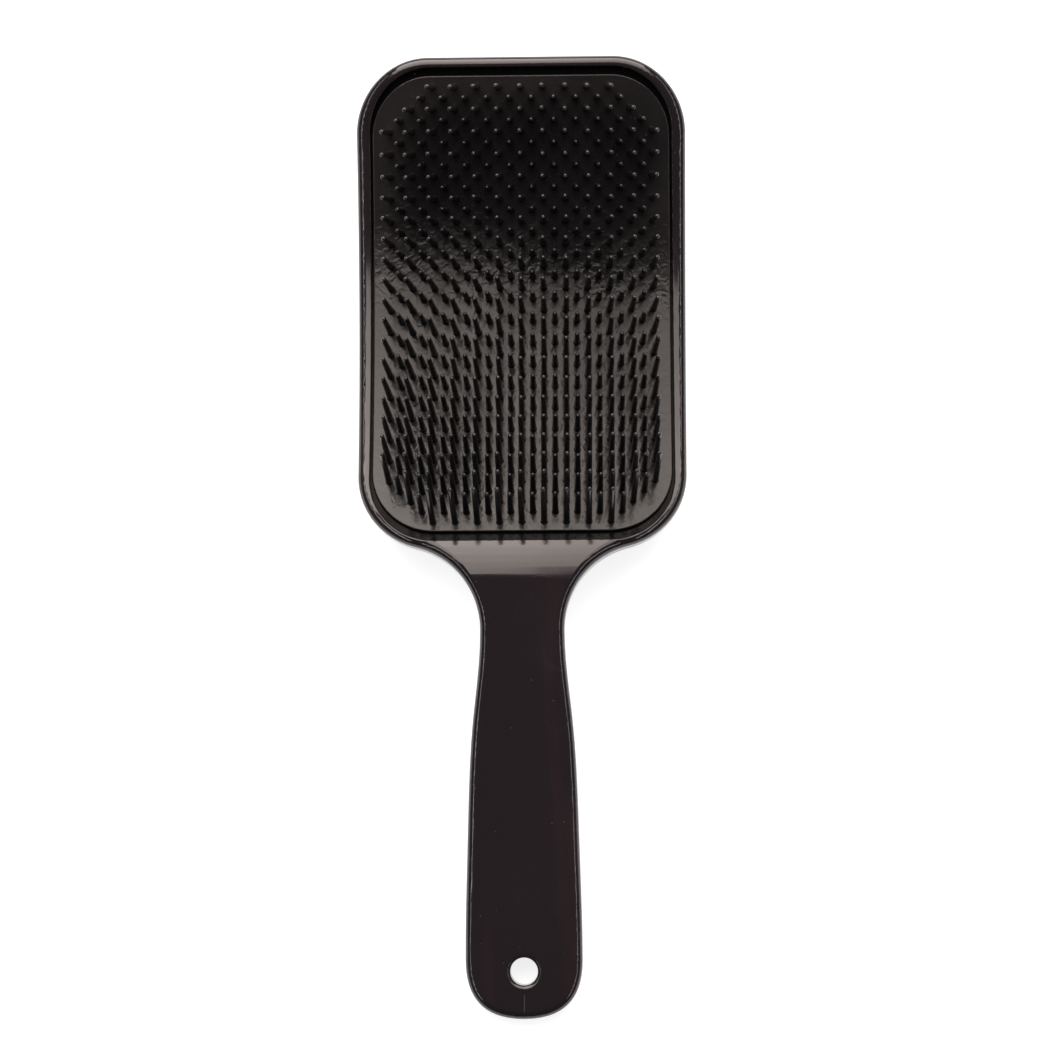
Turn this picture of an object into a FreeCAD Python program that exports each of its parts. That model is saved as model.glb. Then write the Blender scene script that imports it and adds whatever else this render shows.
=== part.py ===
import FreeCAD, Part
import math
import os

# A paddle hairbrush with a bowed head. It lies on its back, with its teeth up.
# Units are millimetres. X runs across the brush, +Y points to the tip of the head and +Z is up.
# Shapes are drawn in a design frame, where the bow of the head is level, and place() then tips
# them by REST_TILT, so that the back of the head and the heel of the handle both stand on Z = 0.

# Driving dimensions: the head.
PAD_RADIUS = 153.0          # bow of the pad's top face, about an axis along X above the head
PAD_SUNK = 0.6              # the pad's top face lies this far below the rim
PAD_THICKNESS = 2.0
FLANGE_THICKNESS = 1.0      # lower half of the pad's edge, held under the lip of the body
AIR_GAP = 2.4               # hollow behind the pad
FLOOR_THICKNESS = 3.0
LIP_CLEARANCE = 0.1
HEAD_TIP_HALF_WIDTH = 41.9
HEAD_NECK_HALF_WIDTH = 41.4
HEAD_TIP_Y = 63.1
HEAD_NECK_Y = -62.6
TIP_CORNER = 18.5
NECK_CORNER = 19.5
RIM_WIDTH = 3.1
PAD_GAP_SIDE = 0.4          # visible gap between pad and rim
PAD_GAP_TIP = 1.75
PAD_GAP_NECK = 2.35
PAD_TIP_Y = 58.4
PAD_NECK_Y = -58.2
FLANGE_UNDER_LIP = 0.5
CHANNEL_UNDERCUT = 1.0
SKIRT_INSET = 0.2
SKIRT_THICKNESS = 0.8
SKIRT_CLEARANCE = 0.05

# Driving dimensions: neck and handle.
NECK_START_ANGLE = 23.3     # degrees along the bow where the face bends over into the handle
NECK_BEND_RADIUS = 22.0
HANDLE_SLOPE = 3.5          # degrees by which the face falls towards the end of the handle
NECK_Y = -82.8
NECK_HALF_WIDTH = 10.5
WIDEST_Y = -164.3
WIDEST_HALF_WIDTH = 14.5
END_Y = -178.9
END_FULLNESS = 0.67         # 0.55 would be an ellipse, and 1 a square end
FLANKS = [(-105.3, 12.4), (-134.9, 13.85)]          # y, half width between neck and widest place
REST_TILT = 2.8             # degrees between the design frame and the brush at rest
HEEL_Y = -160.0             # where the handle stands on the table
BACK_BEND_ANGLE = 17.0      # degrees along the bow where the back leaves the round of the head
BACK_NECK = (-80.0, 11.6)   # y, z of the underside of the neck
BACK_PALM = (-120.0, 8.3)   # y, z of the underside at the palm
BACK_END_RISE = 0.9         # the back lifts this much off the table from the heel to the end
TOP_ROUND = 2.0
BACK_ROUND = 3.5
RIM_ROUND = 0.35
HOLE_Y = -166.3
HOLE_RADIUS = 3.4
HOLE_ROUND = 1.0

# Driving dimensions: the teeth. Long and short rows alternate, and each steps half a pitch.
ROW_PITCH = 5.70            # between long rows, along the bow
TOOTH_PITCH = 5.57          # between the teeth of a row
LONG_ROWS = 21
FULL_ROW = 13               # teeth in a long row of full width
CORNER_ROWS = 2             # long rows at each end that are cut short by the corners
LONG_LENGTH = 16.5
SHORT_LENGTH = 9.6
LONG_RADII = (0.90, 0.50)   # root, tip
SHORT_RADII = (0.85, 0.42)
FAN = 0.10                  # degrees of outward lean per millimetre from the centre line
TIP_RAKE = (12.5, 0.15)     # past this angle on the bow the teeth lean in only this much more per degree
NECK_RAKE = (13.0, 1.25)    # the same for the rows next to the neck, which lean in more
FOOT_CLEARANCE = 0.12       # between the round foot of a tooth and the pad

# Derived sizes.
RIM_RADIUS = PAD_RADIUS - PAD_SUNK
FLANGE_TOP_RADIUS = PAD_RADIUS + PAD_THICKNESS - FLANGE_THICKNESS
PAD_BACK_RADIUS = PAD_RADIUS + PAD_THICKNESS
FLOOR_RADIUS = PAD_BACK_RADIUS + AIR_GAP
BACK_RADIUS = FLOOR_RADIUS + FLOOR_THICKNESS
PAD_HALF_WIDTH = HEAD_NECK_HALF_WIDTH - RIM_WIDTH - PAD_GAP_SIDE
PAD_TIP_CORNER = TIP_CORNER - RIM_WIDTH - PAD_GAP_SIDE
PAD_NECK_CORNER = NECK_CORNER - RIM_WIDTH - PAD_GAP_SIDE
AXIS = FreeCAD.Vector(0, 0, BACK_RADIUS)            # a point on the axis of the bow
BLANK_HALF_WIDTH = 60.0                             # blanks that the outlines cut reach past them
BLANK_HEIGHT = 60.0

# The frame's origin is under the middle of the brush's length at rest.
ORIGIN_Y = -50.701


def plan(x, y):
    return FreeCAD.Vector(x, y, 0)


def side(y, z):
    return FreeCAD.Vector(-BLANK_HALF_WIDTH, y, z)


def arc(make, centre, radius, start, end):
    """Arc from angle start to end, in degrees, in the plane that make(a, b) gives points of."""
    def at(angle):
        a = math.radians(angle)
        return make(centre[0] + radius * math.cos(a), centre[1] + radius * math.sin(a))
    return Part.Arc(at(start), at((start + end) / 2), at(end)).toShape()


def line(a, b):
    return Part.LineSegment(a, b).toShape()


def spline(points, start_tangent, end_tangent):
    curve = Part.BSplineCurve()
    curve.interpolate(Points=points, InitialTangent=start_tangent, FinalTangent=end_tangent)
    return curve.toShape()


def prism(wire):
    """Solid with vertical walls over a closed outline."""
    return Part.Face(wire).extrude(FreeCAD.Vector(0, 0, BLANK_HEIGHT))


def bow(radius):
    """Everything nearer than radius to the axis of the bow, which is above the head."""
    length = 2 * BLANK_HALF_WIDTH
    return Part.makeCylinder(radius, length, AXIS - plan(BLANK_HALF_WIDTH, 0), FreeCAD.Vector(1, 0, 0))


def layer(wire, top_radius, bottom_radius):
    """The part of a prism between two radii of the bow."""
    return prism(wire).common(bow(bottom_radius)).cut(bow(top_radius))


def rounded_outline(side_gap, tip_gap, neck_gap):
    """The pad's outline, grown by these amounts at its sides, at the tip and at the neck."""
    x = PAD_HALF_WIDTH + side_gap
    top, low = PAD_TIP_Y + tip_gap, PAD_NECK_Y - neck_gap
    t = PAD_TIP_CORNER + side_gap
    n = PAD_NECK_CORNER + side_gap
    edges = [
        line(plan(t - x, top), plan(x - t, top)),
        arc(plan, (x - t, top - t), t, 90, 0),
        line(plan(x, top - t), plan(x, low + n)),
        arc(plan, (x - n, low + n), n, 0, -90),
        line(plan(x - n, low), plan(n - x, low)),
        arc(plan, (n - x, low + n), n, -90, -180),
        line(plan(-x, low + n), plan(-x, top - t)),
        arc(plan, (t - x, top - t), t, 180, 90),
    ]
    return Part.Wire(edges)


def opening_outline(grow):
    """The outline of the opening in the rim, grown by this much all round."""
    return rounded_outline(PAD_GAP_SIDE + grow, PAD_GAP_TIP + grow, PAD_GAP_NECK + grow)


def body_outline():
    """Outline of head, neck and handle. The hollow of the neck is an arc that touches the corner of the head."""
    r = NECK_CORNER
    corner_x, corner_y = HEAD_NECK_HALF_WIDTH - r, HEAD_NECK_Y + r
    across, along = NECK_HALF_WIDTH - corner_x, NECK_Y - corner_y
    neck_radius = (across ** 2 + along ** 2 - r ** 2) / (2 * (r - across))
    neck_x = NECK_HALF_WIDTH + neck_radius
    meet = math.degrees(math.atan2(along, neck_x - corner_x))
    narrowest = plan(NECK_HALF_WIDTH, NECK_Y)
    widest = plan(WIDEST_HALF_WIDTH, WIDEST_Y)
    flank = [narrowest] + [plan(x, y) for y, x in FLANKS] + [widest]
    end = Part.BezierCurve()
    end.setPoles([
        widest,
        plan(WIDEST_HALF_WIDTH, WIDEST_Y + END_FULLNESS * (END_Y - WIDEST_Y)),
        plan(END_FULLNESS * WIDEST_HALF_WIDTH, END_Y),
        plan(0, END_Y),
    ])
    tip_x = HEAD_TIP_HALF_WIDTH - TIP_CORNER
    tip_y = HEAD_TIP_Y - TIP_CORNER
    half = [
        line(plan(0, HEAD_TIP_Y), plan(tip_x, HEAD_TIP_Y)),
        arc(plan, (tip_x, tip_y), TIP_CORNER, 90, 0),
        line(plan(HEAD_TIP_HALF_WIDTH, tip_y), plan(HEAD_NECK_HALF_WIDTH, corner_y)),
        arc(plan, (corner_x, corner_y), r, 0, meet),
        arc(plan, (neck_x, NECK_Y), neck_radius, meet + 180, 180),
        spline(flank, plan(0, -1), plan(0, -1)),
        end.toShape(),
    ]
    mirrored = [e.mirror(FreeCAD.Vector(), FreeCAD.Vector(1, 0, 0)) for e in half]
    return Part.Wire(Part.__sortEdges__(half + mirrored))


def table_z(y):
    """Height of the table in the design frame, where it touches the round back of the head."""
    tilt = math.radians(REST_TILT)
    return -y * math.tan(tilt) + BACK_RADIUS * (1 - 1 / math.cos(tilt))


def body_profile():
    """Side view of the body: bowed face, bend at the neck, straight handle, and the back."""
    centre = (0, BACK_RADIUS)
    tip_angle = 26.0
    start, slope = math.radians(NECK_START_ANGLE), math.radians(HANDLE_SLOPE)
    bend_y = -(RIM_RADIUS + NECK_BEND_RADIUS) * math.sin(start)
    bend_z = BACK_RADIUS - (RIM_RADIUS + NECK_BEND_RADIUS) * math.cos(start)
    handle_y = bend_y - NECK_BEND_RADIUS * math.sin(slope)
    handle_z = bend_z + NECK_BEND_RADIUS * math.cos(slope)
    past_end = END_Y - 3
    face_end_z = handle_z - (handle_y - past_end) * math.tan(slope)
    turn = math.radians(BACK_BEND_ANGLE)
    back_start = side(-BACK_RADIUS * math.sin(turn), BACK_RADIUS * (1 - math.cos(turn)))
    heel_z = table_z(HEEL_Y)
    back_end = side(past_end, table_z(past_end) + BACK_END_RISE)
    back = [back_start, side(*BACK_NECK), side(*BACK_PALM), side(HEEL_Y, heel_z), back_end]
    face_start = -90 + tip_angle
    edges = [
        arc(side, centre, RIM_RADIUS, face_start, -90 - NECK_START_ANGLE),
        arc(side, (bend_y, bend_z), NECK_BEND_RADIUS, 90 - NECK_START_ANGLE, 90 + HANDLE_SLOPE),
        line(side(handle_y, handle_z), side(past_end, face_end_z)),
        line(side(past_end, face_end_z), back_end),
        spline(back, side_direction(-math.cos(turn), math.sin(turn)), side_direction(-1, 0.09)),
        arc(side, centre, BACK_RADIUS, -90 - BACK_BEND_ANGLE, face_start),
    ]
    tip = math.radians(tip_angle)
    edges.append(line(
        side(BACK_RADIUS * math.sin(tip), BACK_RADIUS * (1 - math.cos(tip))),
        side(RIM_RADIUS * math.sin(tip), BACK_RADIUS - RIM_RADIUS * math.cos(tip)),
    ))
    return Part.Wire(Part.__sortEdges__(edges))


def side_direction(y, z):
    return FreeCAD.Vector(0, y, z)


def facing(face):
    """Upward share of a face's normal at its middle."""
    u0, u1, v0, v1 = face.ParameterRange
    return face.normalAt((u0 + u1) / 2, (v0 + v1) / 2).z


def outline_edges(solid, up):
    """Edges where the face (up = 1) or the back (up = -1) meets the walls."""
    caps = [f for f in solid.Faces if up * facing(f) > 0.5]
    walls = [e for f in solid.Faces if abs(facing(f)) < 0.1 for e in f.Edges]
    return [e for f in caps for e in f.Edges if any(e.isSame(w) for w in walls)]


def hang_hole():
    """Round cutter for the hole through the end of the handle, square to the handle's face."""
    slope = math.radians(HANDLE_SLOPE)
    direction = FreeCAD.Vector(0, -math.sin(slope), math.cos(slope))
    return Part.makeCylinder(HOLE_RADIUS, BLANK_HEIGHT, plan(0, HOLE_Y), direction)


def body():
    profile = Part.Face(body_profile()).extrude(FreeCAD.Vector(2 * BLANK_HALF_WIDTH, 0, 0))
    solid = prism(body_outline()).common(profile)
    solid = solid.makeFillet(TOP_ROUND, outline_edges(solid, 1))
    solid = solid.makeFillet(BACK_ROUND, outline_edges(solid, -1))
    solid = solid.cut(hang_hole())
    rims = [e for f in solid.Faces if is_hole_wall(f) for e in f.Edges if not e.isSeam(f)]
    solid = solid.makeFillet(HOLE_ROUND, rims)
    lip_radius = FLANGE_TOP_RADIUS - LIP_CLEARANCE
    solid = solid.cut(prism(opening_outline(0)).common(bow(lip_radius)))
    solid = solid.makeFillet(RIM_ROUND, rim_edges(solid))
    return solid.cut(layer(opening_outline(CHANNEL_UNDERCUT), lip_radius, FLOOR_RADIUS))


def rim_edges(solid):
    """Inner top edges of the rim, where its face meets the upright wall of the opening."""
    floor = [f for f in solid.Faces if is_bow(f, FLANGE_TOP_RADIUS - LIP_CLEARANCE)]
    walls = [f for f in solid.Faces if abs(facing(f)) < 0.01 and any(touches(f, g) for g in floor)]
    return [e for f in walls for e in f.Edges
            if not any(e.isSame(g) for h in floor for g in h.Edges) and not is_upright(e)]


def is_bow(face, radius):
    surface = face.Surface
    return isinstance(surface, Part.Cylinder) and abs(surface.Radius - radius) < 1e-6


def touches(face, other):
    return any(e.isSame(g) for e in face.Edges for g in other.Edges)


def is_upright(edge):
    """True for an edge that runs straight up, between two walls."""
    ends = [v.Point for v in edge.Vertexes]
    return len(ends) == 2 and math.hypot(ends[0].x - ends[1].x, ends[0].y - ends[1].y) < 1e-6


def is_hole_wall(face):
    surface = face.Surface
    return isinstance(surface, Part.Cylinder) and abs(surface.Radius - HOLE_RADIUS) < 1e-6


def tooth(length, radii):
    """Round tooth along +Z: a ball at its foot, centred on the origin, a slim cone, and a round tip."""
    root, tip = radii
    length = length - root - FOOT_CLEARANCE
    height = length - tip
    lean = math.asin((root - tip) / height)
    profile = [
        arc(profile_point, (0, 0), root, -90, math.degrees(lean)),
        line(profile_point(root * math.cos(lean), root * math.sin(lean)),
             profile_point(tip * math.cos(lean), height + tip * math.sin(lean))),
        arc(profile_point, (0, height), tip, math.degrees(lean), 90),
        line(profile_point(0, length), profile_point(0, -root)),
    ]
    return Part.Face(Part.Wire(profile)).revolve(FreeCAD.Vector(), FreeCAD.Vector(0, 0, 1), 360)


def profile_point(x, z):
    return FreeCAD.Vector(x, 0, z)


def teeth_in_row(row):
    """Number of teeth in row 0, 1, 2 ..., where the even rows are long, counted from the tip."""
    from_end = min(row, 2 * (LONG_ROWS - 1) - row)
    full = FULL_ROW - row % 2
    return min(full, FULL_ROW - 2 * CORNER_ROWS + from_end)


def row_angle(row):
    """Place of a row along the bow, in radians from the middle of the head towards the tip."""
    return (LONG_ROWS - 1 - row) * ROW_PITCH / 2 / PAD_RADIUS


def row_rake(row):
    """Lean of a row's teeth towards the middle of the head, in degrees from upright in the design frame."""
    angle = math.degrees(row_angle(row))
    limit, gain = TIP_RAKE if angle > 0 else NECK_RAKE
    if abs(angle) <= limit:
        return angle
    return math.copysign(limit + gain * (abs(angle) - limit), angle)


def tooth_kind(row):
    """Length and radii of the teeth in a row."""
    if row % 2 == 0:
        return LONG_LENGTH, LONG_RADII
    return SHORT_LENGTH, SHORT_RADII


def row_foot(row):
    """Middle of a row's line of feet, just above the pad, in the design frame."""
    a = row_angle(row)
    radius = PAD_RADIUS - FOOT_CLEARANCE - tooth_kind(row)[1][0]
    return FreeCAD.Vector(0, radius * math.sin(a), BACK_RADIUS - radius * math.cos(a))


def tooth_places(row):
    """Placement of each tooth in a row: its foot on the pad, its length near to square with the pad."""
    count = teeth_in_row(row)
    foot = row_foot(row)
    rake = FreeCAD.Rotation(FreeCAD.Vector(1, 0, 0), row_rake(row))
    places = []
    for n in range(count):
        x = (n - (count - 1) / 2) * TOOTH_PITCH
        lean = FreeCAD.Rotation(FreeCAD.Vector(0, 1, 0), FAN * x)
        places.append(FreeCAD.Placement(foot + plan(x, 0), rake.multiply(lean)))
    return places


def tooth_row(row):
    pattern = tooth(*tooth_kind(row))
    solids = []
    for spot in tooth_places(row):
        copy = pattern.copy()
        copy.Placement = spot
        solids.append(copy)
    return Part.Compound(solids)


def pad():
    """Bowed plate. Its lower half is a flange that reaches under the lip of the body."""
    top = layer(rounded_outline(0, 0, 0), PAD_RADIUS, FLANGE_TOP_RADIUS)
    flange = layer(opening_outline(FLANGE_UNDER_LIP), FLANGE_TOP_RADIUS, PAD_BACK_RADIUS)
    return top.fuse(flange)


def pad_skirt():
    """Thin elastic wall round the hollow, between the flange and the floor."""
    outline = rounded_outline(-SKIRT_INSET, -SKIRT_INSET, -SKIRT_INSET)
    inset = -SKIRT_INSET - SKIRT_THICKNESS
    outside = layer(outline, PAD_BACK_RADIUS, FLOOR_RADIUS - SKIRT_CLEARANCE)
    return outside.cut(prism(rounded_outline(inset, inset, inset)))


def place(shape):
    """Tips a shape from the design frame to rest on the table, and moves it to the frame's origin."""
    resting = shape.copy()
    resting.rotate(AXIS, FreeCAD.Vector(1, 0, 0), REST_TILT)
    resting.translate(plan(0, -ORIGIN_Y))
    return resting


def nodes():
    """Every sub-part by name."""
    made = {"handle_body": body(), "tooth_pad": pad(), "pad_skirt": pad_skirt()}
    for row in range(2 * LONG_ROWS - 1):
        kind = "long" if row % 2 == 0 else "short"
        made[f"{kind}_teeth_row_{row // 2 + 1:02d}"] = tooth_row(row)
    return made


def main():
    os.makedirs("parts", exist_ok=True)
    for name, shape in nodes().items():
        place(shape).exportStep(f"parts/{name}.step")


main()
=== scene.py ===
import math
import random

import bmesh
import bpy
from mathutils import Matrix, Vector


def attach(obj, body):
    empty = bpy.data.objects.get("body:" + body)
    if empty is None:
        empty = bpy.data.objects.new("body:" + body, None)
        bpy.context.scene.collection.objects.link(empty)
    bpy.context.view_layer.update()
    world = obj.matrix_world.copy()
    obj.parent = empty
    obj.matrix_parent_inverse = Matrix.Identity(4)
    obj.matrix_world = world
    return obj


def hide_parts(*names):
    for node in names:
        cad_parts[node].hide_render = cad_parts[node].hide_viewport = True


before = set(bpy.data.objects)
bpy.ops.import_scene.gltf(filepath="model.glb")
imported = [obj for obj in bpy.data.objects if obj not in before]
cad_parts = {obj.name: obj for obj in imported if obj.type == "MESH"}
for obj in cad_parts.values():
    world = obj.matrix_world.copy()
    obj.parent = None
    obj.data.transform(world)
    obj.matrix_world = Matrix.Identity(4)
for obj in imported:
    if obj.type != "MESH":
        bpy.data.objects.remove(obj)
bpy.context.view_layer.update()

# A glossy black paddle brush on a white floor. Lengths are in metres, in the frame of the CAD part.
MM = 0.001

# The bow of the head, in the design frame that the CAD part was drawn in.
PAD_RADIUS = 153.0 * MM
BACK_RADIUS = 160.4 * MM
REST_TILT = math.radians(2.8)
ORIGIN_Y = -50.701 * MM

# The pad: a plate with a flange under it, both following the bow.
PAD_HALF_WIDTH = 37.9 * MM
PAD_TIP_Y = 58.4 * MM
PAD_NECK_Y = -58.2 * MM
PAD_TIP_CORNER = 15.0 * MM
PAD_NECK_CORNER = 16.0 * MM
PAD_GAP_SIDE = 0.4 * MM
PAD_GAP_TIP = 1.75 * MM
PAD_GAP_NECK = 2.35 * MM
PLATE_DEPTH = 1.15 * MM
FLANGE_TOP = 1.0 * MM
FLANGE_BOTTOM = 2.0 * MM
FLANGE_UNDER_LIP = 0.5 * MM
PAD_EDGE_ROUND = 0.45 * MM
PAD_EDGE_STEPS = 4
CORNER_STEPS = 20
BEND_STEP = 1.5 * MM
PAD_SHARP_ANGLE = 35
GROOVE_SHADE_DEPTHS = (0.75 * MM, 0.85 * MM)    # depth under the pad's face where the painted shade of the groove begins and where it is full

# The teeth.
ROWS = 41
FULL_ROW = 13
CORNER_LOSS = 4             # how many teeth the first and last rows lack, for the round corners
ROW_PITCH = 2.85 * MM
TOOTH_PITCH = 5.57 * MM
FAN = math.radians(0.10) / MM
TIP_RAKE = (12.5, 0.15)     # past this angle on the bow, in degrees, the lean grows by this much per degree
NECK_RAKE = (13.0, 1.25)
LONG_TOOTH = (16.35 * MM, 0.84 * MM, 0.60 * MM)     # length, root radius, tip radius
SHORT_TOOTH = (9.55 * MM, 0.82 * MM, 0.57 * MM)
ROOT_FLARE = 0.14 * MM
FLARE_HEIGHT = 0.40 * MM
FLARE_REACH = 3.0           # the flare's rings end at this many flare heights
FLARE_FALL = 2.2            # the flare shrinks by this power of e in one flare height
FLARE_RINGS = 7
SHAFT_RINGS = 5
SHAFT_TAPER = 1.15
POINT_RINGS = 6
ROOT_SUNK = 0.35 * MM
TOOTH_SIDES = 16
TOOTH_SHARP_ANGLE = 50
WOBBLE = math.radians(0.45)
SEED = 11
AXIS = Vector((0, 0, BACK_RADIUS))

# The knit line near the end of the handle: where it fades in and out along Y, and its edge and wander across.
KNIT_START = (-115.4 * MM, -114.8 * MM)
KNIT_END = (-119.6 * MM, -118.8 * MM)
KNIT_EDGE = (0.05 * MM, 0.16 * MM)
KNIT_WANDER = 0.5 * MM

# The lights. A strip lies on each side of the head, and the key light is past its tip.
LIGHT_TARGET = Vector((0, 0.02, 0.02))
KEY_TILT = 44
KEY_DISTANCE = 1.5
KEY_COLOR = (1.0, 0.90, 0.83)
KEY_BOTTOM = -0.85
KEY_FADE = (2.9, 2.8, 2.5, 2.1, 1.75, 1.5, 1.35)    # brightness of its bands, from the low far edge up
STRIP_TILT = 46
STRIP_TURN = 97
STRIP_DISTANCE = 1.3
STRIP_ACROSS = (-0.9, 0.9)
STRIP_ALONG = (-0.04, 0.04)
SKY_COLOR = (0.9, 0.9, 1.0, 1)
SKY_STRENGTH = 0.08
FLOOR_HALF = 3.0
FLOOR_GLOW = 0.83

# The camera. ACROSS, ALONG and AWAY lead to it from the axis of the head's bow, along its own right, up and
# back directions. It then rolls a little and swings to the right about the frame's origin.
CAMERA_TILT = math.radians(7.01)
CAMERA_ROLL = math.radians(0.42)
CAMERA_SWING = math.radians(1.4)
CAMERA_ACROSS = 0.4 * MM
CAMERA_ALONG = -73.5 * MM
CAMERA_AWAY = 747.0 * MM
CAMERA_LENS = 120.96
CAMERA_SENSOR = 36.0
CAMERA_NEAR = 0.01

# Places of the colour sockets on a Mix node.
MIX_FACTOR, MIX_A, MIX_B = 0, 6, 7
MIX_RESULT = 2


def to_frame(point):
    """A point of the design frame, where the head's bow is level, as it lies at rest on the table."""
    turned = Matrix.Rotation(REST_TILT, 3, "X") @ (Vector(point) - AXIS) + AXIS
    return turned - Vector((0, ORIGIN_Y, 0))


def bowed(x, y, height):
    """The point at (x, y) in the design frame and at a height above the pad's face, as it lies at rest."""
    radius = PAD_RADIUS - height
    return to_frame((x, y, BACK_RADIUS - math.sqrt(radius * radius - y * y)))


def add_object(name, mesh, material):
    obj = bpy.data.objects.new(name, mesh)
    bpy.context.scene.collection.objects.link(obj)
    mesh.materials.append(material)
    return obj


def smooth(mesh, angle_deg):
    mesh.shade_smooth()
    mesh.set_sharp_from_angle(angle=math.radians(angle_deg))


# Materials.

class Nodes:
    """A material's node tree, with short ways to add and link nodes."""

    def __init__(self, name):
        self.material = bpy.data.materials.new(name)
        self.material.use_nodes = True
        self.tree = self.material.node_tree
        self.bsdf = self.tree.nodes["Principled BSDF"]
        self.where = self.tree.nodes.new("ShaderNodeTexCoord").outputs["Object"]

    def add(self, kind, **settings):
        node = self.tree.nodes.new(kind)
        for key, value in settings.items():
            setattr(node, key, value)
        return node

    def link(self, source, target):
        self.tree.links.new(source, target)

    def stretched(self, scale):
        """Object coordinates times a scale on each axis."""
        node = self.add("ShaderNodeMapping")
        node.inputs["Scale"].default_value = scale
        self.link(self.where, node.inputs["Vector"])
        return node.outputs["Vector"]

    def noise(self, scale, detail=3.0, stretch=(1, 1, 1), distortion=0.0):
        node = self.add("ShaderNodeTexNoise")
        node.inputs["Scale"].default_value = scale
        node.inputs["Detail"].default_value = detail
        node.inputs["Distortion"].default_value = distortion
        self.link(self.stretched(stretch), node.inputs["Vector"])
        return node.outputs["Fac"]

    def remap(self, value, low, high, out_low=0.0, out_high=1.0):
        node = self.add("ShaderNodeMapRange", clamp=True)
        keys = ("From Min", "From Max", "To Min", "To Max")
        for key, number in zip(keys, (low, high, out_low, out_high)):
            node.inputs[key].default_value = number
        self.link(value, node.inputs["Value"])
        return node.outputs["Result"]

    def math(self, operation, a, b=0.0):
        node = self.add("ShaderNodeMath", operation=operation)
        for socket, value in zip(node.inputs, (a, b)):
            if isinstance(value, (int, float)):
                socket.default_value = value
            else:
                self.link(value, socket)
        return node.outputs["Value"]

    def mix(self, factor, a, b):
        """Colour between two colours, each a constant or a socket."""
        node = self.add("ShaderNodeMix", data_type="RGBA")
        self.link(factor, node.inputs[MIX_FACTOR])
        for socket, value in ((node.inputs[MIX_A], a), (node.inputs[MIX_B], b)):
            if isinstance(value, tuple):
                socket.default_value = (*value, 1)
            else:
                self.link(value, socket)
        return node.outputs[MIX_RESULT]

    def bump(self, height, strength, distance, under=None):
        node = self.add("ShaderNodeBump")
        node.inputs["Strength"].default_value = strength
        node.inputs["Distance"].default_value = distance
        self.link(height, node.inputs["Height"])
        if under is not None:
            self.link(under, node.inputs["Normal"])
        return node.outputs["Normal"]


def scratches(n, scale, stretch, distortion):
    """Thin wandering lines, 1 on a line and 0 elsewhere."""
    field = n.noise(scale, 1.0, stretch, distortion)
    off_line = n.math("ABSOLUTE", n.math("SUBTRACT", field, 0.5))
    return n.remap(off_line, 0.0, 0.004, 1.0, 0.0)


def specks(n, scale, size):
    """Small round spots of dust, 1 on a spot."""
    cells = n.add("ShaderNodeTexVoronoi")
    cells.inputs["Scale"].default_value = scale
    n.link(n.where, cells.inputs["Vector"])
    rare = n.remap(n.noise(scale * 0.31, 1.0), 0.56, 0.60)
    return n.math("MULTIPLY", n.remap(cells.outputs["Distance"], size * 0.6, size, 1.0, 0.0), rare)


def knit_line(n):
    """The faint line where the plastic met again past the hanging hole, on the centre line near the end."""
    split = n.add("ShaderNodeSeparateXYZ")
    n.link(n.where, split.inputs["Vector"])
    wander = n.math("MULTIPLY", n.math("SUBTRACT", n.noise(160, 2.0), 0.5), KNIT_WANDER)
    off = n.math("ABSOLUTE", n.math("ADD", split.outputs["X"], wander))
    on_line = n.remap(off, *KNIT_EDGE, 1.0, 0.0)
    begins = n.remap(split.outputs["Y"], *KNIT_START, 1.0, 0.0)
    ends = n.remap(split.outputs["Y"], *KNIT_END)
    return n.math("MULTIPLY", on_line, n.math("MULTIPLY", begins, ends))


def body_plastic():
    """Glossy black plastic with brown flow streaks, smudges, hair scratches, dust and slight waves."""
    n = Nodes("body_plastic")
    streaks = n.remap(n.noise(26, 4.0, (1.0, 0.16, 1.0), 1.4), 0.50, 0.72)
    cloudy = n.remap(n.noise(16, 2.0), 0.35, 0.75)
    flow = n.mix(n.math("MULTIPLY", streaks, cloudy), (0.0105, 0.0080, 0.0098), (0.031, 0.0135, 0.0120))
    dust = n.math("MULTIPLY", specks(n, 420, 0.075), 0.25)
    line = knit_line(n)
    pale = n.math("MAXIMUM", dust, n.math("MULTIPLY", line, 0.22))
    n.link(n.mix(pale, flow, (0.16, 0.15, 0.15)), n.bsdf.inputs["Base Color"])
    along = scratches(n, 60, (1.0, 0.25, 1.0), 0.6)
    across = scratches(n, 45, (0.4, 1.0, 1.0), 0.9)
    hair = n.math("MAXIMUM", along, across)
    smudge = n.remap(n.noise(38, 5.0), 0.42, 0.70, 0.085, 0.17)
    rough = n.math("ADD", smudge, n.math("MULTIPLY", hair, 0.05))
    n.link(n.math("ADD", rough, n.math("MULTIPLY", dust, 0.4)), n.bsdf.inputs["Roughness"])
    n.bsdf.inputs["Specular IOR Level"].default_value = 0.52
    waves = n.bump(n.noise(70, 2.0), 0.22, 0.10 * MM)
    grain = n.bump(n.noise(1400, 2.0), 0.10, 0.010 * MM, waves)
    lines = n.math("SUBTRACT", 1.0, n.math("MAXIMUM", n.math("MULTIPLY", hair, 0.35), line))
    n.link(n.bump(lines, 0.35, 0.012 * MM, grain), n.bsdf.inputs["Normal"])
    return n.material


def painted_groove_shade(n):
    """1 down in the groove round the pad, where shade is painted as darker, less reflective rubber, and 0 on
    the pad's glossy face.
    """
    middle = to_frame(AXIS)
    split = n.add("ShaderNodeSeparateXYZ")
    n.link(n.where, split.inputs["Vector"])
    along = n.math("SUBTRACT", split.outputs["Y"], middle.y)
    down = n.math("SUBTRACT", split.outputs["Z"], middle.z)
    squares = n.math("ADD", n.math("MULTIPLY", along, along), n.math("MULTIPLY", down, down))
    low, high = GROOVE_SHADE_DEPTHS
    return n.remap(n.math("SQRT", squares), PAD_RADIUS + low, PAD_RADIUS + high)


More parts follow.
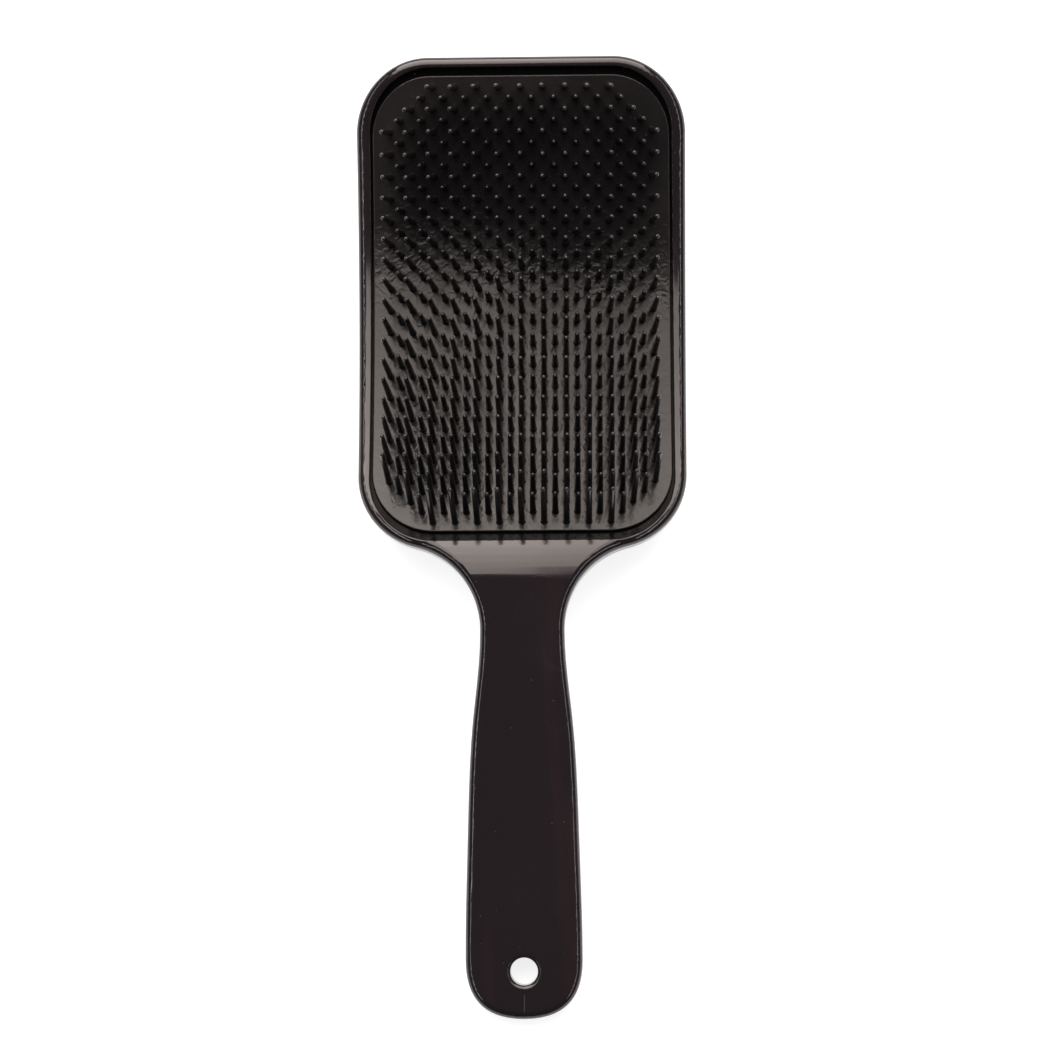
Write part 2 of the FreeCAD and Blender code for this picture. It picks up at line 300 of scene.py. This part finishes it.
def pad_rubber():
    """Black rubber with a sagging, crinkled and pebbled face and some dust, with painted shade down in the
    groove, where it is darker and reflects less.
    """
    n = Nodes("pad_rubber")
    tone = n.remap(n.noise(55, 3.0), 0.35, 0.70)
    face = n.mix(tone, (0.0085, 0.0075, 0.0080), (0.015, 0.013, 0.013))
    # Painted shade: the rubber down in the groove round the pad gets a darker colour and a weaker reflection.
    groove_shade = painted_groove_shade(n)
    base = n.mix(groove_shade, face, (0.0030, 0.0028, 0.0030))
    dust = n.math("MULTIPLY", specks(n, 520, 0.10), 0.40)
    n.link(n.mix(dust, base, (0.15, 0.14, 0.14)), n.bsdf.inputs["Base Color"])
    n.link(n.remap(n.noise(85, 4.0), 0.35, 0.70, 0.13, 0.24), n.bsdf.inputs["Roughness"])
    n.link(n.remap(groove_shade, 0.0, 1.0, 0.34, 0.05), n.bsdf.inputs["Specular IOR Level"])
    sag = n.bump(n.noise(120, 2.0), 0.30, 0.12 * MM)
    crinkle = n.bump(n.noise(430, 1.5, distortion=1.2), 0.60, 0.15 * MM, sag)
    peel = n.bump(n.noise(620, 2.5), 0.32, 0.030 * MM, crinkle)
    n.link(peel, n.bsdf.inputs["Normal"])
    return n.material


def tooth_rubber():
    """The same rubber on the teeth, with a finer grain."""
    n = Nodes("tooth_rubber")
    tone = n.remap(n.noise(180, 2.0), 0.35, 0.70)
    n.link(n.mix(tone, (0.0070, 0.0065, 0.0070), (0.014, 0.0125, 0.013)), n.bsdf.inputs["Base Color"])
    n.link(n.remap(n.noise(260, 3.0), 0.35, 0.70, 0.15, 0.26), n.bsdf.inputs["Roughness"])
    n.bsdf.inputs["Specular IOR Level"].default_value = 0.45
    n.link(n.bump(n.noise(1500, 2.0), 0.25, 0.012 * MM), n.bsdf.inputs["Normal"])
    return n.material


def floor_paper():
    """White paper that glows, so that it stays white and shadows on it stay faint."""
    n = Nodes("floor_paper")
    fibres = n.mix(n.noise(220, 4.0), (0.42, 0.42, 0.425), (0.44, 0.44, 0.445))
    n.link(fibres, n.bsdf.inputs["Base Color"])
    n.bsdf.inputs["Roughness"].default_value = 0.9
    n.bsdf.inputs["Specular IOR Level"].default_value = 0.1
    n.bsdf.inputs["Emission Color"].default_value = (1, 1, 1, 1)
    n.bsdf.inputs["Emission Strength"].default_value = FLOOR_GLOW
    return n.material


# The pad.

def outline(side_gap, tip_gap, neck_gap):
    """Rounded outline of the pad in plan, grown by these amounts, anticlockwise from above."""
    x, top, low = PAD_HALF_WIDTH + side_gap, PAD_TIP_Y + tip_gap, PAD_NECK_Y - neck_gap
    tip, neck = PAD_TIP_CORNER + side_gap, PAD_NECK_CORNER + side_gap
    corners = ((x - tip, top - tip, tip, 0), (tip - x, top - tip, tip, 90),
               (neck - x, low + neck, neck, 180), (x - neck, low + neck, neck, 270))
    points = []
    for cx, cy, r, start in corners:
        for k in range(CORNER_STEPS + 1):
            a = math.radians(start + 90 * k / CORNER_STEPS)
            points.append((cx + r * math.cos(a), cy + r * math.sin(a)))
    return points


def bowed_slab(bm, gaps, top, bottom, edge_round):
    """Adds a plate with rounded top edges to bm. It is made flat, cut into strips and bent to the bow."""
    flat = bmesh.new()
    rim = [flat.verts.new((x, y, -top)) for x, y in outline(*gaps)]
    cap = flat.faces.new(rim)
    grown = bmesh.ops.extrude_face_region(flat, geom=[cap], use_keep_orig=True)["geom"]
    lower = [v for v in grown if isinstance(v, bmesh.types.BMVert)]
    for v in lower:
        v.co.z = -bottom
    if edge_round:
        edges = [e for e in flat.edges if all(abs(v.co.z + top) < 1e-9 for v in e.verts)]
        bmesh.ops.bevel(flat, geom=edges, offset=edge_round, segments=PAD_EDGE_STEPS, profile=0.5,
                        affect="EDGES")
    bmesh.ops.recalc_face_normals(flat, faces=flat.faces)
    steps = int(PAD_TIP_Y / BEND_STEP) + 1
    for k in range(-steps, steps + 1):
        everything = flat.verts[:] + flat.edges[:] + flat.faces[:]
        cut = (0, k * BEND_STEP, 0)
        bmesh.ops.bisect_plane(flat, geom=everything, plane_co=cut, plane_no=(0, 1, 0))
    for v in flat.verts:
        v.co = bowed(v.co.x, v.co.y, v.co.z)
    mesh = bpy.data.meshes.new("slab")
    flat.to_mesh(mesh)
    flat.free()
    bm.from_mesh(mesh)
    bpy.data.meshes.remove(mesh)


def build_pad(material):
    bm = bmesh.new()
    flange_gaps = [gap + FLANGE_UNDER_LIP for gap in (PAD_GAP_SIDE, PAD_GAP_TIP, PAD_GAP_NECK)]
    bowed_slab(bm, (0.0, 0.0, 0.0), 0.0, PLATE_DEPTH, PAD_EDGE_ROUND)
    bowed_slab(bm, flange_gaps, FLANGE_TOP, FLANGE_BOTTOM, 0.0)
    mesh = bpy.data.meshes.new("bowed_pad")
    bm.to_mesh(mesh)
    bm.free()
    smooth(mesh, PAD_SHARP_ANGLE)
    return add_object("bowed_pad", mesh, material)


# The teeth.

def tooth_profile(length, root, tip):
    """Radius and height of each ring of a tooth, from under the pad's face to just below the point."""
    rings = [(root + ROOT_FLARE, -ROOT_SUNK)]
    for k in range(FLARE_RINGS):
        z = FLARE_HEIGHT * FLARE_REACH * k / (FLARE_RINGS - 1)
        rings.append((root + ROOT_FLARE * math.exp(-FLARE_FALL * z / FLARE_HEIGHT), z))
    start = rings[-1][1]
    shoulder = length - tip
    for k in range(1, SHAFT_RINGS + 1):
        t = k / (SHAFT_RINGS + 1)
        rings.append((root + (tip - root) * t ** SHAFT_TAPER, start + t * (shoulder - start)))
    for k in range(POINT_RINGS):
        a = math.radians(90 * k / POINT_RINGS)
        rings.append((tip * math.cos(a), shoulder + tip * math.sin(a)))
    return rings, length


def teeth_in_row(row):
    """Number of teeth in a row, counted from the tip. Even rows are long."""
    from_end = min(row, ROWS - 1 - row)
    return min(FULL_ROW - row % 2, FULL_ROW - CORNER_LOSS + from_end)


def row_rake(angle):
    """Lean of the teeth towards the middle of the head, for a row at this angle along the bow."""
    limit, gain = TIP_RAKE if angle > 0 else NECK_RAKE
    limit = math.radians(limit)
    if abs(angle) <= limit:
        return angle
    return math.copysign(limit + gain * (abs(angle) - limit), angle)


def add_tooth(points, faces, profile, place):
    """Adds one closed tooth of this profile to the lists of points and faces."""
    rings, length = profile
    first = len(points)
    for radius, z in rings:
        for k in range(TOOTH_SIDES):
            a = 2 * math.pi * k / TOOTH_SIDES
            points.append(place @ Vector((radius * math.cos(a), radius * math.sin(a), z)))
    points.append(place @ Vector((0, 0, length)))
    for ring in range(len(rings) - 1):
        for k in range(TOOTH_SIDES):
            a = first + ring * TOOTH_SIDES + k
            b = first + ring * TOOTH_SIDES + (k + 1) % TOOTH_SIDES
            faces.append((a, b, b + TOOTH_SIDES, a + TOOTH_SIDES))
    last = first + (len(rings) - 1) * TOOTH_SIDES
    for k in range(TOOTH_SIDES):
        faces.append((last + k, last + (k + 1) % TOOTH_SIDES, len(points) - 1))
    faces.append(tuple(first + k for k in reversed(range(TOOTH_SIDES))))


def build_row(row, material, rng):
    """One row of teeth, each leaning a little out from the centre line and a little at random."""
    kind, sizes = ("long", LONG_TOOTH) if row % 2 == 0 else ("short", SHORT_TOOTH)
    node = f"{kind}_teeth_row_{row // 2 + 1:02d}"
    profile = tooth_profile(*sizes)
    angle = ((ROWS - 1) / 2 - row) * ROW_PITCH / PAD_RADIUS
    count = teeth_in_row(row)
    points, faces = [], []
    for k in range(count):
        x = (k - (count - 1) / 2) * TOOTH_PITCH
        root = bowed(x, PAD_RADIUS * math.sin(angle), 0.0)
        rake = Matrix.Rotation(REST_TILT + row_rake(angle) + rng.uniform(-WOBBLE, WOBBLE), 4, "X")
        lean = Matrix.Rotation(FAN * x + rng.uniform(-WOBBLE, WOBBLE), 4, "Y")
        add_tooth(points, faces, profile, Matrix.Translation(root) @ rake @ lean)
    mesh = bpy.data.meshes.new(f"{kind}_teeth_{row // 2 + 1:02d}")
    mesh.from_pydata(points, [], faces)
    smooth(mesh, TOOTH_SHARP_ANGLE)
    obj = add_object(mesh.name, mesh, material)
    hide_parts(node)
    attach(obj, node.replace("_teeth", ""))


# Floor, lights and camera.

def build_floor(material):
    mesh = bpy.data.meshes.new("floor")
    corners = [(x * FLOOR_HALF, y * FLOOR_HALF, 0) for x, y in ((-1, -1), (1, -1), (1, 1), (-1, 1))]
    mesh.from_pydata(corners, [], [(0, 1, 2, 3)])
    obj = add_object("floor", mesh, material)


def aim(tilt_deg, turn_deg):
    """Direction from the head to a light. tilt is the angle from straight up, and turn goes from +Y to +X."""
    tilt, turn = math.radians(tilt_deg), math.radians(turn_deg)
    return Vector((math.sin(tilt) * math.sin(turn), math.sin(tilt) * math.cos(turn), math.cos(tilt)))


def softbox(name, way, distance, across, along, strength, color):
    """Area light that faces the head, with edges at these distances across (+ is left in the picture for the
    key light) and along (+ is up) from its middle."""
    data = bpy.data.lights.new(name, "AREA")
    data.shape = "RECTANGLE"
    data.size, data.size_y = across[1] - across[0], along[1] - along[0]
    data.energy = strength * data.size * data.size_y * math.pi
    data.color = color
    obj = bpy.data.objects.new(name, data)
    bpy.context.scene.collection.objects.link(obj)
    side = Vector((0, 0, 1)).cross(way).normalized()
    rise = way.cross(side)
    middle = side * sum(across) / 2 + rise * sum(along) / 2
    turn = Matrix((side, rise, way)).transposed().to_4x4()
    obj.matrix_world = Matrix.Translation(LIGHT_TARGET + way * distance + middle) @ turn
    obj.visible_camera = False


def key_panel(name, across, top, strength):
    """One upright part of the big key light, in bands that get brighter towards its low far edge."""
    height = (top - KEY_BOTTOM) / len(KEY_FADE)
    for band, share in enumerate(KEY_FADE):
        low = KEY_BOTTOM + height * band
        along = (low, low + height)
        softbox(f"{name}_{band}", aim(KEY_TILT, 0), KEY_DISTANCE, across, along, strength * share, KEY_COLOR)


def side_strip(name, turn, strength, color):
    softbox(name, aim(STRIP_TILT, turn), STRIP_DISTANCE, STRIP_ACROSS, STRIP_ALONG, strength, color)


def build_lights():
    key_panel("key_middle", (-0.012, 0.032), 0.95, 2.7)
    key_panel("key_left", (0.032, 1.0), 1.34, 2.8)
    key_panel("key_right", (-1.0, -0.012), 1.22, 2.25)
    side_strip("left_strip", -STRIP_TURN, 8.5, (1.0, 0.97, 0.97))
    side_strip("right_strip", STRIP_TURN, 7.5, (0.98, 0.97, 1.0))
    world = bpy.data.worlds.new("studio")
    world.use_nodes = True
    world.node_tree.nodes["Background"].inputs["Color"].default_value = SKY_COLOR
    world.node_tree.nodes["Background"].inputs["Strength"].default_value = SKY_STRENGTH
    bpy.context.scene.world = world
    bpy.context.scene.view_settings.view_transform = "Standard"


def build_camera():
    """Camera above the brush, looking down and a little towards the tip."""
    tilt = CAMERA_TILT + REST_TILT
    up = Vector((0, math.cos(tilt), math.sin(tilt)))
    back = Vector((0, -math.sin(tilt), math.cos(tilt)))
    right = Vector((1, 0, 0))
    rolled_right = right * math.cos(CAMERA_ROLL) - up * math.sin(CAMERA_ROLL)
    rolled_up = right * math.sin(CAMERA_ROLL) + up * math.cos(CAMERA_ROLL)
    data = bpy.data.cameras.new("camera")
    data.lens = CAMERA_LENS
    data.sensor_width = CAMERA_SENSOR
    data.clip_start = CAMERA_NEAR
    obj = bpy.data.objects.new("camera", data)
    bpy.context.scene.collection.objects.link(obj)
    centre = to_frame(AXIS) + right * CAMERA_ACROSS + up * CAMERA_ALONG + back * CAMERA_AWAY
    turn = Matrix((rolled_right, rolled_up, back)).transposed().to_4x4()
    swung = Matrix.Rotation(CAMERA_SWING, 4, up)
    obj.matrix_world = swung @ Matrix.Translation(centre) @ turn
    bpy.context.scene.camera = obj


def main():
    rng = random.Random(SEED)
    plastic, rubber, teeth = body_plastic(), pad_rubber(), tooth_rubber()
    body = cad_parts["handle_body"]
    for slot in body.material_slots:
        slot.material = plastic
    pad = build_pad(rubber)
    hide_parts("tooth_pad", "pad_skirt")
    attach(pad, "pad")
    for row in range(ROWS):
        build_row(row, teeth, rng)
    build_floor(floor_paper())
    build_lights()
    build_camera()


main()
